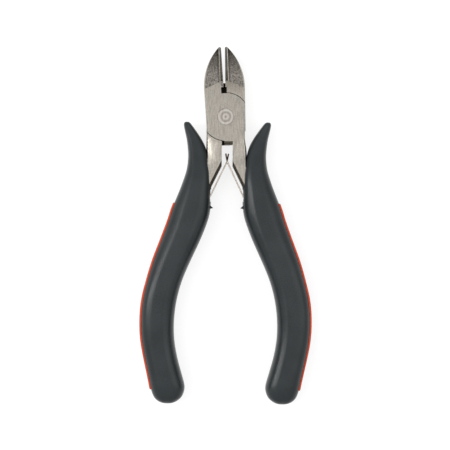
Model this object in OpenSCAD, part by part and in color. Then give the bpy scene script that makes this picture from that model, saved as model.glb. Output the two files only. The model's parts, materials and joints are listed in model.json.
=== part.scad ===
// Small diagonal cutting pliers: two forged halves in a lap joint, a flush pivot rivet, two
// interlocked leaf springs, and two moulded grips with finger guards and let-in strips.
// The tool lies on its back. X runs across the handles, Y from the handle ends to the jaw
// tips, and Z up out of the face. The origin is on the table, under the middle of the tool.
// Left and right are as seen from above with the jaws pointing away. Lengths are in mm.

/* [Jaws] */
// Reach of the jaw tips from the pivot
jaw_reach = 22.7; // [21:0.1:26]
// Start of the cutting edges from the pivot
edge_start = 11.5; // [10.5:0.1:13]
// Flat land left on each cutting edge
edge_land = 0.08; // [0.04:0.01:0.2]
// Angle of each bevel from the plane of the cut
bevel_angle = 22; // [16:1:28]
// Radius of the jaws' outer outline
jaw_arc_r = 18.4; // [17.5:0.1:20]
// Distance from the pivot at which that outline begins
jaw_arc_y = 9.6; // [8.5:0.1:10.5]
// Distance from the pivot at which the ground taper meets the cutting plane
taper_start = 12; // [11:0.1:14]
// Slope of the ground taper
taper_slope = 10.8; // [8:0.1:12]
// Turn of the taper's upper edge from straight across
taper_turn = 27; // [0:1:35]
// Opening angle of the jaws at rest
rest_open = 3.1; // [2.8:0.1:5]
// Lean of the jaws' middle line from the handles' middle line
jaw_lean = 2.8; // [0:0.05:3]

/* [Joint] */
// Thickness of the head and the arms
head_t = 6.4; // [5.6:0.1:7.4]
// Width of the head across the joint
head_w = 12.7; // [12:0.1:14]
// Radius of the crown on the head's and the jaws' sides
side_crown = 5.5; // [4:0.1:5.8]
// Radius of the round lap of the two plates
lap_r = 7.8; // [7.4:0.05:8.2]
// Radius of the rear plate on the jaws' side, where it closes the slot from behind
back_lap_r = 11.35; // [10.5:0.05:11.4]
// Distance of the head's middle from the handles' middle, towards the left
head_offset = 0.6; // [0:0.05:0.7]
// Gap round each plate
lap_gap = 0.15; // [0.1:0.01:0.25]
// Gap between the two plates' flat faces
plate_gap = 0.04; // [0.02:0.01:0.08]
// Radius of the pivot rivet's shank
pivot_r = 2; // [1.6:0.1:2.4]
// Radius of the pivot rivet's flush heads
pivot_head_r = 2.7; // [2.6:0.1:3.4]
// Thickness of the pivot rivet's heads
pivot_head_t = 1; // [0.6:0.1:1.4]
// Running gap between the pivot rivet and the rear half
pivot_play = 0.03; // [0.02:0.01:0.06]
// Middle radius, width and depth of the ring turned in the rivet's front
ring_r = 1.7; // [1.2:0.1:2]
ring_w = 0.25; // [0.15:0.05:0.4]
ring_depth = 0.12; // [0.06:0.02:0.3]
// Height of the square relief cut into the top of the lap
relief_h = 2; // [1.4:0.05:2.3]
// How far the relief runs into the jaw that carries the plate
relief_deep = 0.9; // [0.5:0.05:1.2]
// How far the relief runs into the other jaw
relief_shallow = 0.45; // [0.2:0.05:0.6]
// Set-back of each jaw's inner face below the cutting edge
slot_relief = 0.05; // [0.03:0.01:0.15]

/* [Arms] */
// Gap between the arms below the joint
throat_gap = 3.5; // [3.2:0.1:4.2]
// Distance from the pivot at which the arms' inner faces turn outwards
throat_depth = 14.2; // [13:0.1:16]
// Angle of the arms' inner faces below the throat
arm_flare = 23.9; // [21:0.1:26]
// Distance of the arms' outer sides from the head's middle line
arm_side = 6.15; // [6:0.05:7.2]
// Distance from the pivot at which the outer sides turn outwards
arm_bend = 16; // [15:0.5:18]
// Width of the arm where it becomes the tang
arm_w = 5.5; // [4.5:0.1:6]
// Width and height of the chamfer on the arms' inner edges
arm_chamfer_w = 1; // [0.4:0.1:1.4]
arm_chamfer_h = 0.8; // [0.4:0.1:1.2]
// How far the plates' lower lip reaches past the lap
lip_drop = 1.1; // [0.6:0.1:1.4]
// Gap beside the lip to the other arm
lip_gap = 0.85; // [0.75:0.05:1]
// Width and thickness of the tang inside the grip
tang_w = 4.6; // [3.6:0.1:5.2]
tang_t = 4.4; // [3.4:0.1:5]
// Distances from the pivot at which the thick arm ends and the tang ends
arm_reach = 30; // [29:0.5:32]
tang_reach = 85; // [70:1:86]

/* [Leaf springs] */
// Distance from the pivot to the level of the spring rivets
spring_level = 31; // [30.5:0.1:32]
// Distance of the spring rivets from the middle line
spring_side = 7.98; // [7.7:0.02:8.2]
// Distance from the pivot at which the leaves cross
cross_level = 14.1; // [13.8:0.1:14.8]
// Thickness and width of the leaves
leaf_t = 0.45; // [0.35:0.05:0.5]
leaf_w = 4; // [3.4:0.1:4.2]
// Length of the leaves' ends past the crossing
leaf_end = 2.3; // [2.1:0.1:2.5]
// Lean of the leaves' ends from the middle line
leaf_end_lean = 10; // [8:0.5:12]
// Length and bend of the hooked lip at the very end
leaf_hook = 0.2; // [0.2:0.05:0.5]
leaf_hook_bend = 40; // [20:5:50]
// Length of the foot below the rivet
leaf_foot = 1.8; // [1.6:0.1:2.2]
// Width of the tongue on the left leaf
tongue_w = 1.4; // [1:0.1:1.6]
// Gap on each side of the tongue in the window
tongue_gap = 0.3; // [0.2:0.05:0.4]
// Reach of the window below and above the crossing
window_below = 0.9; // [0.8:0.05:1.2]
window_above = 2.05; // [1.9:0.05:2.1]
// Distance below the crossing at which the tongue begins
tongue_below = 1.4; // [1.3:0.05:1.8]
// Radius of the spring rivets' shank
stud_r = 0.75; // [0.6:0.05:0.9]
// Radius of the spring rivets' head and collar
stud_head_r = 1.4; // [1.2:0.05:1.5]
// Thickness of the spring rivets' head
stud_head_t = 0.5; // [0.3:0.05:0.6]
// Depth of the spring rivets in the arm
stud_depth = 1.9; // [1.5:0.1:2.2]
// Gap between the leaf and the rivet's head, collar and shank
stud_gap = 0.12; // [0.1:0.01:0.15]

/* [Grips] */
// Distance from the pivot to the top of the finger guards
grip_top = 1.4; // [1:0.1:3]
// Distance from the pivot to the end of the grips
grip_end = 92.2; // [90:0.1:96]
// Distance from the middle line to the outermost point of the grips
grip_span = 27.45; // [27:0.05:29]
// Thickness of the grips
grip_t = 10.5; // [10:0.1:12]
// Extra depth of the grips' backs, ground off as a flat
back_flat = 0.4; // [0.3:0.05:0.6]
// Hollow of the front face between its two ridges
front_dish = 0.2; // [0.05:0.05:0.4]
// Length, height and width of the small ramp on the inner side
nub_len = 1; // [0.8:0.1:2]
nub_h = 0.8; // [0.4:0.1:1]
nub_w = 3; // [2:0.1:4]
// Distance from the pivot to the ramp's high end
nub_level = 29.2; // [28.6:0.1:30.6]
// Gap between the leaf or its rivet and the grip
pocket_gap = 0.4; // [0.35:0.05:0.5]

/* [Inlays] */
// Distances from the pivot to the top and the bottom of the inlays
inlay_top = 27.6; // [27:0.1:32]
inlay_end = 87.6; // [80:0.1:88]
// Width of the inlays
inlay_w = 4.4; // [3:0.1:5]
// Depth of the inlays in the grip
inlay_depth = 0.9; // [0.6:0.05:1.2]
// How far the inlays stand out of the grip
inlay_proud = 0.35; // [0.1:0.05:0.5]

/* [Hidden] */
$fn = 72;

// Overrun of every cut
over = 1;
half_t = head_t / 2;
throat_half = throat_gap / 2;
grip_len = grip_end - grip_top;
// The pivot's place above the table and forward of the tool's middle
pivot_z = grip_t / 2;
pivot_y = (grip_end - jaw_reach) / 2;
// Turn of each half's jaw from its closed place, as seen from that half's own face
front_turn = rest_open / 2 + jaw_lean;
rear_turn = rest_open / 2 - jaw_lean;

// Grip outline from the finger guard's top to the grip's end. Each row holds the share of
// the length, the shares of the span at the inner and the outer edge, and the share of the
// thickness.
grip_shares = [
    [0.000, 0.459, 0.492, 0.160],
    [0.004, 0.437, 0.510, 0.320],
    [0.013, 0.413, 0.514, 0.430],
    [0.035, 0.359, 0.499, 0.540],
    [0.064, 0.295, 0.477, 0.640],
    [0.093, 0.250, 0.465, 0.730],
    [0.121, 0.228, 0.459, 0.810],
    [0.150, 0.207, 0.465, 0.870],
    [0.177, 0.190, 0.481, 0.920],
    [0.206, 0.182, 0.512, 0.960],
    [0.235, 0.181, 0.546, 0.985],
    [0.263, 0.183, 0.583, 1.000],
    [0.306, 0.187, 0.640, 1.010],
    [0.348, 0.213, 0.683, 1.020],
    [0.420, 0.304, 0.770, 1.020],
    [0.491, 0.412, 0.858, 1.010],
    [0.562, 0.512, 0.927, 1.000],
    [0.633, 0.576, 0.982, 0.990],
    [0.704, 0.605, 1.000, 0.980],
    [0.775, 0.601, 0.989, 0.970],
    [0.847, 0.557, 0.945, 0.970],
    [0.917, 0.490, 0.894, 0.980],
    [0.946, 0.470, 0.876, 0.960],
    [0.975, 0.499, 0.842, 0.860],
    [0.989, 0.546, 0.801, 0.700],
    [0.997, 0.594, 0.750, 0.480],
    [1.000, 0.641, 0.699, 0.250]
];
last_row = len(grip_shares) - 1;
// Slices between two rows, points on each rounded side, and slices along an inlay
row_steps = 2;
side_steps = 12;
inlay_steps = 26;
tang_steps = 10;
// Share of the half width at which the ridges run, and the roundness of the sides
ridge_share = 0.5;
roundness = 2.3;

// Smooth curve through one column of the outline's rows
function rise(c, i) =
    let (a = max(i - 1, 0), b = min(i + 1, last_row))
    (grip_shares[b][c] - grip_shares[a][c]) / (grip_shares[b][0] - grip_shares[a][0]);
function row_at(s, i = 0) =
    (i >= last_row - 1 || s <= grip_shares[i + 1][0]) ? i : row_at(s, i + 1);
function curve(c, s) =
    let (i = row_at(s), a = grip_shares[i], b = grip_shares[i + 1], h = b[0] - a[0],
         t = (s - a[0]) / h)
    a[c] * (1 + 2 * t) * (1 - t) * (1 - t) + b[c] * t * t * (3 - 2 * t)
    + h * rise(c, i) * t * (1 - t) * (1 - t) + h * rise(c, i + 1) * t * t * (t - 1);

// Edges, middle and half thickness of the right grip at a distance below the pivot
function along(y) = (y - grip_top) / grip_len;
function inner_x(s) = grip_span * curve(1, s);
function outer_x(s) = grip_span * curve(2, s);
function mid_x(s) = (inner_x(s) + outer_x(s)) / 2;
function half_w(s) = (outer_x(s) - inner_x(s)) / 2;
function half_h(s) = grip_t / 2 * curve(3, s);
function ridge_x(s) = ridge_share * half_w(s);
// Depth of the grip's back under the middle plane, before the flat is cut
function back_h(s) = half_h(s) + back_flat * min(1, curve(3, s));

// One point of the rounded side, at an angle up from the middle plane
function side_point(s, a) = [
    ridge_x(s) + (half_w(s) - ridge_x(s)) * pow(max(cos(a), 0), 2 / roundness),
    a < 0 ? -back_h(s) * pow(-sin(a), 2 / roundness) : half_h(s) * pow(sin(a), 2 / roundness)
];
// Height of the front face between the ridges, at a share of the way from ridge to ridge
function dish_z(s, t) = half_h(s) - front_dish * curve(3, s) * (1 - t * t);

// A slice of the right grip: its outer side, its front, its inner side and its back
function grip_slice(s) = concat(
    [for (i = [0:side_steps])
        let (p = side_point(s, -90 + 180 * i / side_steps)) [mid_x(s) + p[0], p[1]]],
    [for (t = [0.5, 0, -0.5]) [mid_x(s) + t * ridge_x(s), dish_z(s, t)]],
    [for (i = [0:side_steps])
        let (p = side_point(s, 90 - 180 * i / side_steps)) [mid_x(s) - p[0], p[1]]]
);
grip_stops = concat(
    [for (i = [0:last_row - 1]) for (k = [0:row_steps - 1])
        grip_shares[i][0] + (grip_shares[i + 1][0] - grip_shares[i][0]) * k / row_steps],
    [grip_shares[last_row][0]]
);

// How far the rounded outer side lies from the grip's middle, at a height z
function side_x(s, z) =
    ridge_x(s) + (half_w(s) - ridge_x(s))
    * pow(1 - pow(min(abs(z) / half_h(s), 1), roundness), 1 / roundness);
// A slice of the right inlay: its floor in the grip and its face, which follows the side
function inlay_slice(s) = concat(
    [for (z = [inlay_w / 2, -inlay_w / 2])
        [mid_x(s) + side_x(s, inlay_w / 2) - inlay_depth, z]],
    [for (t = [-1, -0.5, 0, 0.5, 1])
        [mid_x(s) + side_x(s, t * inlay_w / 2) + inlay_proud, t * inlay_w / 2]]
);
inlay_stops = [for (i = [0:inlay_steps])
    along(inlay_top + (inlay_end - inlay_top) * i / inlay_steps)];

// Solid through slices at given shares of the grip's length
module loft(stops, slices) {
    n = len(slices[0]);
    m = len(slices);
    polyhedron(
        points = [for (i = [0:m - 1]) for (p = slices[i])
            [p[0], -grip_top - grip_len * stops[i], p[1]]],
        faces = concat(
            [[for (j = [0:n - 1]) j]],
            [for (i = [0:m - 2]) for (j = [0:n - 1]) let (k = (j + 1) % n)
                [i * n + j, (i + 1) * n + j, i * n + k]],
            [for (i = [0:m - 2]) for (j = [0:n - 1]) let (k = (j + 1) % n)
                [i * n + k, (i + 1) * n + j, (i + 1) * n + k]],
            [[for (j = [n - 1:-1:0]) (m - 1) * n + j]]
        )
    );
}

// Extrusion along Y from y0 to y1 of an outline drawn in X and Z
module along_y(y0, y1) {
    translate([0, y1, 0]) rotate([90, 0, 0]) linear_extrude(y1 - y0) children();
}

// Block between two Y levels, wider and thicker than the head
module slab(y0, y1, t) {
    translate([-2 * grip_span, y0, -t / 2]) cube([4 * grip_span, y1 - y0, t]);
}

// Bar whose right side is crowned, a distance of reach from the middle
module crowned_bar(reach, y0, y1) {
    along_y(y0, y1) intersection() {
        union() {
            translate([reach - side_crown, 0]) circle(r = side_crown);
            translate([-head_w, -half_t]) square([head_w + reach - side_crown, head_t]);
        }
        translate([-head_w, -half_t]) square([head_w + reach, head_t]);
    }
}

// Left jaw closed against the plane x = 0, before its grinding
module jaw_blank() {
    intersection() {
        union() {
            mirror([1, 0, 0]) crowned_bar(head_w / 2, 0, jaw_arc_y);
            intersection() {
                translate([jaw_arc_r - head_w / 2, jaw_arc_y, 0]) rotate_extrude()
                    intersection() {
                        union() {
                            translate([jaw_arc_r - side_crown, 0]) circle(r = side_crown);
                            translate([0, -half_t]) square([jaw_arc_r - side_crown, head_t]);
                        }
                        translate([0, -half_t]) square([jaw_arc_r, head_t]);
                    }
                slab(jaw_arc_y, jaw_reach, head_t);
            }
        }
        translate([-head_w, 0, -head_t]) cube([head_w, jaw_reach, 2 * head_t]);
    }
}

// Everything above a taper's plane, on the front side
module taper_cut() {
    translate([0, taper_start, half_t]) rotate([0, 0, taper_turn])
        rotate([-taper_slope, 0, 0])
        translate([-jaw_reach, -jaw_reach, 0]) cube([2 * jaw_reach, 3 * jaw_reach, head_t]);
}

// Left jaw with its tapers, bevels and relieved inner face
module jaw() {
    difference() {
        jaw_blank();
        taper_cut();
        mirror([0, 0, 1]) taper_cut();
        for (side = [1, -1]) along_y(edge_start, jaw_reach + over) polygon([
            [0, side * edge_land / 2],
            [-(head_t - edge_land / 2) * tan(bevel_angle), side * head_t],
            [over, side * head_t],
            [over, side * edge_land / 2]
        ]);
        translate([-slot_relief, -over, -head_t])
            cube([slot_relief + over, edge_start + over, 2 * head_t]);
    }
}

// Right arm and tang in plan
function flare_x(y) = throat_half + (y - throat_depth) * tan(arm_flare);
tang_first = arm_reach + arm_w;
function tang_y(i) = tang_first + (tang_reach - tang_first) * i / tang_steps;
module arm_plan(offset_x) {
    polygon(concat(
        [[throat_half, 0], [throat_half, -throat_depth],
         [flare_x(arm_reach + arm_w / 2), -arm_reach - arm_w / 2]],
        [for (i = [0:tang_steps]) [mid_x(along(tang_y(i))) - tang_w / 2, -tang_y(i)]],
        [for (i = [tang_steps:-1:0]) [mid_x(along(tang_y(i))) + tang_w / 2, -tang_y(i)]],
        [[flare_x(arm_reach) + arm_w, -arm_reach], [arm_side - offset_x, -arm_bend],
         [arm_side - offset_x, 0]]
    ));
}

// Chamfer cut along the arm's flared inner edge, on the front side
module arm_chamfer_cut() {
    translate([throat_half, -throat_depth, half_t - arm_chamfer_h])
        rotate([0, 0, arm_flare]) rotate([0, -atan(arm_chamfer_h / arm_chamfer_w), 0])
        translate([-over, -arm_reach, 0]) cube([over + 3 * arm_chamfer_w, arm_reach, over]);
}

// Right arm: crowned beside the head, full thickness down to the tang, thinner in the grip.
// offset_x is the distance of the head's middle to the left of the handles' middle.
module arm(offset_x) {
    difference() {
        union() {
            intersection() {
                translate([0, 0, -half_t]) linear_extrude(head_t) arm_plan(offset_x);
                translate([-offset_x, 0, 0]) crowned_bar(arm_side, -arm_bend, 0);
            }
            intersection() {
                translate([0, 0, -half_t]) linear_extrude(head_t) arm_plan(offset_x);
                slab(-arm_reach, -arm_bend, head_t);
            }
            intersection() {
                translate([0, 0, -tang_t / 2]) linear_extrude(tang_t) arm_plan(offset_x);
                slab(-tang_reach, -arm_reach, head_t);
            }
        }
        arm_chamfer_cut();
        mirror([0, 0, 1]) arm_chamfer_cut();
    }
}

// Lip under a plate in the throat, chamfered towards the face
module lip() {
    low = lap_r + lip_drop;
    difference() {
        translate([lip_gap - throat_half, -low, plate_gap / 2])
            cube([throat_gap - lip_gap + over / 2, low - lap_r / 2, half_t - plate_gap / 2]);
        translate([-throat_gap, -lap_r, half_t]) rotate([atan(half_t / 2 / lip_drop), 0, 0])
            translate([0, -head_t, 0]) cube([2 * throat_gap, head_t, half_t]);
    }
}

// Whatever stands in a half's rear layer, cleared to a radius round the other half's plate
module lapped(reach) {
    difference() {
        union() children();
        translate([0, 0, -head_t]) cylinder(r = reach, h = head_t + plate_gap / 2);
    }
}

// Front plate, crowned on the left with the jaw and on the right with the arm. reach is its
// lap's radius on the jaws' side.
module plate(turn, reach) {
    intersection() {
        rotate([0, 0, turn]) mirror([1, 0, 0]) crowned_bar(head_w / 2, -head_w, head_w);
        crowned_bar(arm_side, -head_w, head_w);
        union() {
            translate([0, 0, plate_gap / 2]) cylinder(r = lap_r - lap_gap, h = head_t);
            if (reach > lap_r) intersection() {
                translate([0, 0, plate_gap / 2]) cylinder(r = reach - lap_gap, h = head_t);
                slab(0, head_w, 2 * head_t);
                rotate([0, 0, turn]) difference() {
                    slab(-head_w, jaw_reach, 2 * head_t);
                    taper_cut();
                    mirror([1, 0, 0]) taper_cut();
                }
            }
        }
    }
}

// One half of the tool, with the left jaw, the front plate and the right arm. turn is its
// jaw's turn from the handles' middle line, play the pivot's running gap, offset_x the
// head's offset to the left, and own and other the radii of its own lap and the other
// half's on the jaws' side.
module half(turn, play, offset_x, own, other) {
    difference() {
        union() {
            translate([-offset_x, 0, 0]) lapped(other) rotate([0, 0, turn]) jaw();
            union() {
                translate([-offset_x, 0, 0]) plate(turn, own);
                translate([-offset_x, 0, 0]) lapped(lap_r) translate([offset_x, 0, 0]) {
                    arm(offset_x);
                    lip();
                }
            }
        }
        translate([-offset_x, 0, -head_t]) cylinder(r = pivot_r + play, h = 2 * head_t);
        translate([-offset_x, 0, half_t - pivot_head_t - play])
            cylinder(r = pivot_head_r + play, h = head_t);
        stud_place() rotate([0, 90, 0]) cylinder(r = stud_r, h = stud_seat + stud_depth + stud_gap);
    }
}

// Half of the square relief above the lap, cut a distance of depth into a left jaw's layer
// that begins at z
module relief(turn, offset_x, depth, z) {
    translate([-offset_x, 0, 0]) rotate([0, 0, turn])
        translate([-depth, lap_r - 2 * lap_gap, z]) cube([depth + over, relief_h, head_t]);
}

// The springs' straight run, its lean from the middle line, and the rivet's seat on the arm
leaf_run = norm([spring_side, spring_level - cross_level]);
leaf_lean = atan(spring_side / (spring_level - cross_level));
stud_seat = ((spring_level - throat_depth) * sin(arm_flare)
    - (spring_side - throat_half) * cos(arm_flare)) / cos(arm_flare - leaf_lean);

// Place of the right spring's rivet, with +Y along the leaf and +X towards the arm
module stud_place() {
    translate([spring_side, -spring_level, 0]) rotate([0, 0, leaf_lean]) children();
}

// A leaf's bent strip in its own place: foot, straight run, end and hooked lip
function turned(p, a, d) = p + d * [sin(a), cos(a)];
end_turn = leaf_lean - leaf_end_lean;
leaf_path = let (a = [0, leaf_run], b = turned(a, end_turn, leaf_end))
    [[0, -leaf_foot], a, b, turned(b, end_turn - leaf_hook_bend, leaf_hook)];
function leaf_left(i, k) =
    let (n = len(leaf_path), a = leaf_path[max(i - 1, 0)], b = leaf_path[i],
         c = leaf_path[min(i + 1, n - 1)],
         u = (b - a) / max(norm(b - a), leaf_t / 100),
         v = (c - b) / max(norm(c - b), leaf_t / 100),
         w = (u + v) / norm(u + v), f = norm(u) < 0.5 || norm(v) < 0.5 ? 1 : w * v)
    b + k * leaf_t / 2 / f * [-w[1], w[0]];
module leaf_blank() {
    n = len(leaf_path);
    translate([0, 0, -leaf_w / 2]) linear_extrude(leaf_w) polygon(concat(
        [for (i = [0:n - 1]) leaf_left(i, 1)],
        [for (i = [n - 1:-1:0]) leaf_left(i, -1)]
    ));
}
module leaf_hole() {
    translate([-over, 0, 0]) rotate([0, 90, 0]) cylinder(r = stud_r + stud_gap, h = 2 * over);
}

module right_leaf() {
    window_w = tongue_w + 2 * tongue_gap;
    stud_place() difference() {
        leaf_blank();
        leaf_hole();
        translate([-2 * over, leaf_run - window_below, -window_w / 2])
            cube([4 * over, window_below, window_w]);
        translate([0, leaf_run, 0]) rotate([0, 0, -end_turn])
            translate([-2 * over, -leaf_t, -window_w / 2])
            cube([4 * over, window_above + leaf_t, window_w]);
    }
}

// The left leaf is drawn on the right and turned over
module left_leaf() {
    mirror([1, 0, 0]) stud_place() difference() {
        leaf_blank();
        leaf_hole();
        for (s = [0, 1]) mirror([0, 0, s])
            translate([-2 * over, leaf_run - tongue_below, tongue_w / 2])
            cube([4 * over, tongue_below + 2 * leaf_end, leaf_w]);
    }
}

// Right spring rivet: head, neck through the leaf, collar and shank in the arm
module stud() {
    near = leaf_t / 2 + stud_gap;
    stud_place() rotate([0, 90, 0]) {
        translate([0, 0, -near - stud_head_t]) cylinder(r = stud_head_r, h = stud_head_t);
        translate([0, 0, -near - stud_head_t / 2])
            cylinder(r = stud_r, h = near + stud_head_t / 2 + stud_seat + stud_depth);
        translate([0, 0, near]) cylinder(r = stud_head_r, h = stud_seat - near - stud_gap / 2);
    }
}

// Room in the right grip for the leaf's foot and run, and round the rivet
module pocket() {
    room = leaf_t / 2 + pocket_gap;
    stud_place() {
        translate([-room, -leaf_foot - pocket_gap, -leaf_w / 2 - pocket_gap])
            cube([room + stud_seat + over / 2, leaf_run / 2 + leaf_foot + pocket_gap,
                leaf_w + 2 * pocket_gap]);
        translate([-room - stud_head_t - stud_gap, 0, 0]) rotate([0, 90, 0])
            cylinder(r = stud_head_r + pocket_gap, h = 2 * room + stud_head_t);
    }
}

module inlay() {
    loft(inlay_stops, [for (s = inlay_stops) inlay_slice(s)]);
}

// Right grip: the soft body and its ramp, less all that sits in it
module grip(offset_x) {
    difference() {
        union() {
            loft(grip_stops, [for (s = grip_stops) grip_slice(s)]);
            translate([0, 0, -nub_w / 2]) linear_extrude(nub_w) polygon([
                [inner_x(along(nub_level - nub_len)) + nub_h, -nub_level + nub_len],
                [inner_x(along(nub_level)) - nub_h, -nub_level],
                [inner_x(along(nub_level)) + nub_h, -nub_level - nub_h / 2]
            ]);
        }
        translate([0, -grip_end - over, -pivot_z - grip_t])
            cube([2 * grip_span, grip_end + 2 * over, grip_t]);
        arm(offset_x);
        inlay();
        pocket();
    }
}

module on_table() {
    translate([0, pivot_y, pivot_z]) children();
}

module front_half() {
    color("#b0aaa3") on_table() difference() {
        half(front_turn, 0, head_offset, lap_r, back_lap_r);
        relief(front_turn, head_offset, relief_deep, plate_gap / 2);
    }
}
module rear_half() {
    color("#a8a29b") on_table() rotate([0, 180, 0]) difference() {
        half(rear_turn, pivot_play, -head_offset, back_lap_r, lap_r);
        relief(rear_turn, -head_offset, relief_shallow, plate_gap / 2 - head_t);
    }
}
module pivot_rivet() {
    color("#bdb8b1") on_table() translate([-head_offset, 0, 0]) difference() {
        union() {
            cylinder(r = pivot_r, h = head_t, center = true);
            for (s = [0, 1]) mirror([0, 0, s]) translate([0, 0, half_t - pivot_head_t])
                cylinder(r = pivot_head_r, h = pivot_head_t);
        }
        translate([0, 0, half_t - ring_depth]) difference() {
            cylinder(r = ring_r + ring_w / 2, h = head_t);
            cylinder(r = ring_r - ring_w / 2, h = head_t);
        }
    }
}
module left_leaf_spring() {
    color("#c9c4bd") on_table() left_leaf();
}
module right_leaf_spring() {
    color("#c9c4bd") on_table() right_leaf();
}
module left_spring_rivet() {
    color("#9a958e") on_table() mirror([1, 0, 0]) stud();
}
module right_spring_rivet() {
    color("#9a958e") on_table() stud();
}
module left_grip() {
    color("#3f4445") on_table() mirror([1, 0, 0]) grip(-head_offset);
}
module right_grip() {
    color("#3f4445") on_table() grip(head_offset);
}
module left_grip_inlay() {
    color("#c8401f") on_table() mirror([1, 0, 0]) inlay();
}
module right_grip_inlay() {
    color("#c8401f") on_table() inlay();
}

front_half();
rear_half();
pivot_rivet();
left_leaf_spring();
right_leaf_spring();
left_spring_rivet();
right_spring_rivet();
left_grip();
right_grip();
left_grip_inlay();
right_grip_inlay();
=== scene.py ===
"""Dresses a small pair of side cutting pliers and sets it up as it was photographed.

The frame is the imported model's own, in metres: X runs across the handles, Y from the handle
ends to the jaw tips, and Z up out of the joint's face. The table is at Z = 0. Sizes in the
classes are in millimetres, as a maker writes them, and MM turns them to metres.
"""

from __future__ import annotations

import json
import logging
import math
from contextlib import contextmanager
from dataclasses import dataclass, field, replace
from enum import Enum, IntEnum
from functools import cache
from typing import Callable, Iterator, Optional, Sequence, Union

import bmesh
import bpy
from bmesh.types import BMesh, BMFace
from bpy.types import Material, MeshPolygon, Node, NodeSocket, NodeTree, Object
from mathutils import Matrix, Vector

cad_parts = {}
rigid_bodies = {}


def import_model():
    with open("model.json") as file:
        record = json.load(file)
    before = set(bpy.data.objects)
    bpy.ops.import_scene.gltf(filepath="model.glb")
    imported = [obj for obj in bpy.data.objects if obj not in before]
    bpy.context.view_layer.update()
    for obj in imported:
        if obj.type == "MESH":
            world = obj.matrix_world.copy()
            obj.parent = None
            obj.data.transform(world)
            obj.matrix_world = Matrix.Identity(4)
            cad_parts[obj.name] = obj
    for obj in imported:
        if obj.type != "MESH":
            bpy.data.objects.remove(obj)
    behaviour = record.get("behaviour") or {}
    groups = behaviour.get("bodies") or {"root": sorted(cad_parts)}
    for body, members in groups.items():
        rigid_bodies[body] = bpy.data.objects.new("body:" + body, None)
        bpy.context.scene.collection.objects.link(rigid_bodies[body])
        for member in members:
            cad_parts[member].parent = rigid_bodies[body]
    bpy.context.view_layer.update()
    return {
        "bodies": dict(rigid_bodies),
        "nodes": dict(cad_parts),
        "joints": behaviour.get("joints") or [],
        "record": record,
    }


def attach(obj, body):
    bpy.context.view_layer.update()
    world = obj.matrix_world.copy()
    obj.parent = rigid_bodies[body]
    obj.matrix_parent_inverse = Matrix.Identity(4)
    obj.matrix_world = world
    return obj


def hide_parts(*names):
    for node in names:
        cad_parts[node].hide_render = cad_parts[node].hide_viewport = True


LOG = logging.getLogger("cutting_pliers")
MM = 0.001
WHITE = "#ffffff"

# Gap that is welded, slack of a cut, and slack of a test by place, all in millimetres
WELD_MM = 0.0005
CUT_MM = 0.0001
NEAR_MM = 0.1
# Most that faces may turn to each other and still be dissolved into one
FLAT_DEG = 0.4
# Rounded edges: steps in each, the turn up to which they shade smooth, how much large
# faces count in the normals
ROUND_STEPS = 2
EASED_SMOOTH_DEG = 32.0
FACE_WEIGHT = 80

# The pivot's axis, as the model is laid out
PIVOT = Vector((-0.6, 34.75, 5.25))

Colour = tuple[float, float, float, float]
Span = tuple[float, float]
Feed = Union[float, int, Sequence[float], NodeSocket]


class Side(Enum):
    """Side of the tool, as seen from above with the jaws pointing away."""

    LEFT = -1
    RIGHT = 1

    @property
    def word(self) -> str:
        """The side as it stands in the names of nodes."""
        return self.name.lower()

    @property
    def half_body(self) -> str:
        """The body that carries this side's grip."""
        return "rear_half" if self is Side.LEFT else "front_half"


# ---- Small tools ---------------------------------------------------------------------


def linear(code: str) -> Colour:
    """Turns an sRGB hex colour into a linear one.

    Args:
        code: Colour such as "#b0aaa3".

    Returns:
        Red, green, blue and an alpha of 1.
    """
    parts = [int(code[i : i + 2], 16) / 255 for i in (1, 3, 5)]
    red, green, blue = (
        c / 12.92 if c <= 0.04045 else ((c + 0.055) / 1.055) ** 2.4 for c in parts
    )
    return (red, green, blue, 1.0)


def feed(tree: NodeTree, node: Node, inputs: dict[Union[str, int], Feed]) -> None:
    """Sets or links the inputs of a node.

    Args:
        tree: Node tree that holds the node.
        node: Node to change.
        inputs: Value or source socket of each named or numbered input.
    """
    for name, value in inputs.items():
        if isinstance(value, NodeSocket):
            tree.links.new(value, node.inputs[name])
        else:
            node.inputs[name].default_value = value


def add_node(
    tree: NodeTree,
    kind: str,
    inputs: Optional[dict[Union[str, int], Feed]] = None,
    **settings: object,
) -> Node:
    """Adds one node with its settings, values and links.

    Args:
        tree: Node tree that takes the node.
        kind: Type of the node, without the ShaderNode that it starts with.
        inputs: Value or source socket of each named or numbered input.
        settings: Fields of the node.

    Returns:
        The new node.
    """
    node = tree.nodes.new("ShaderNode" + kind)
    for name, value in settings.items():
        setattr(node, name, value)
    feed(tree, node, inputs or {})
    return node


def clamped(share: float) -> float:
    """Keeps a share between nothing and the whole."""
    return min(max(share, 0.0), 1.0)


def pick(obj: Object) -> Object:
    """Makes one object the only selected and active one.

    Args:
        obj: Object to pick.

    Returns:
        The same object.
    """
    for other in list(bpy.context.selected_objects):
        other.select_set(False)
    bpy.context.view_layer.objects.active = obj
    obj.select_set(True)
    return obj


@contextmanager
def editing(obj: Object) -> Iterator[BMesh]:
    """Opens an object in edit mode.

    Args:
        obj: Mesh object to edit.

    Yields:
        The mesh being edited, in which elements can be selected by their place.
    """
    pick(obj)
    bpy.ops.object.mode_set(mode="EDIT")
    yield bmesh.from_edit_mesh(obj.data)
    bpy.ops.object.mode_set(mode="OBJECT")


def select_faces(mesh: BMesh, wanted: Callable[[BMFace], bool]) -> None:
    """Selects some faces of the mesh being edited, and nothing else.

    Args:
        mesh: The mesh being edited.
        wanted: Tells whether a face is selected.
    """
    for face in mesh.faces:
        face.select_set(False)
    for face in mesh.faces:
        if wanted(face):
            face.select_set(True)
    bmesh.update_edit_mesh(bpy.context.object.data)


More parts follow.
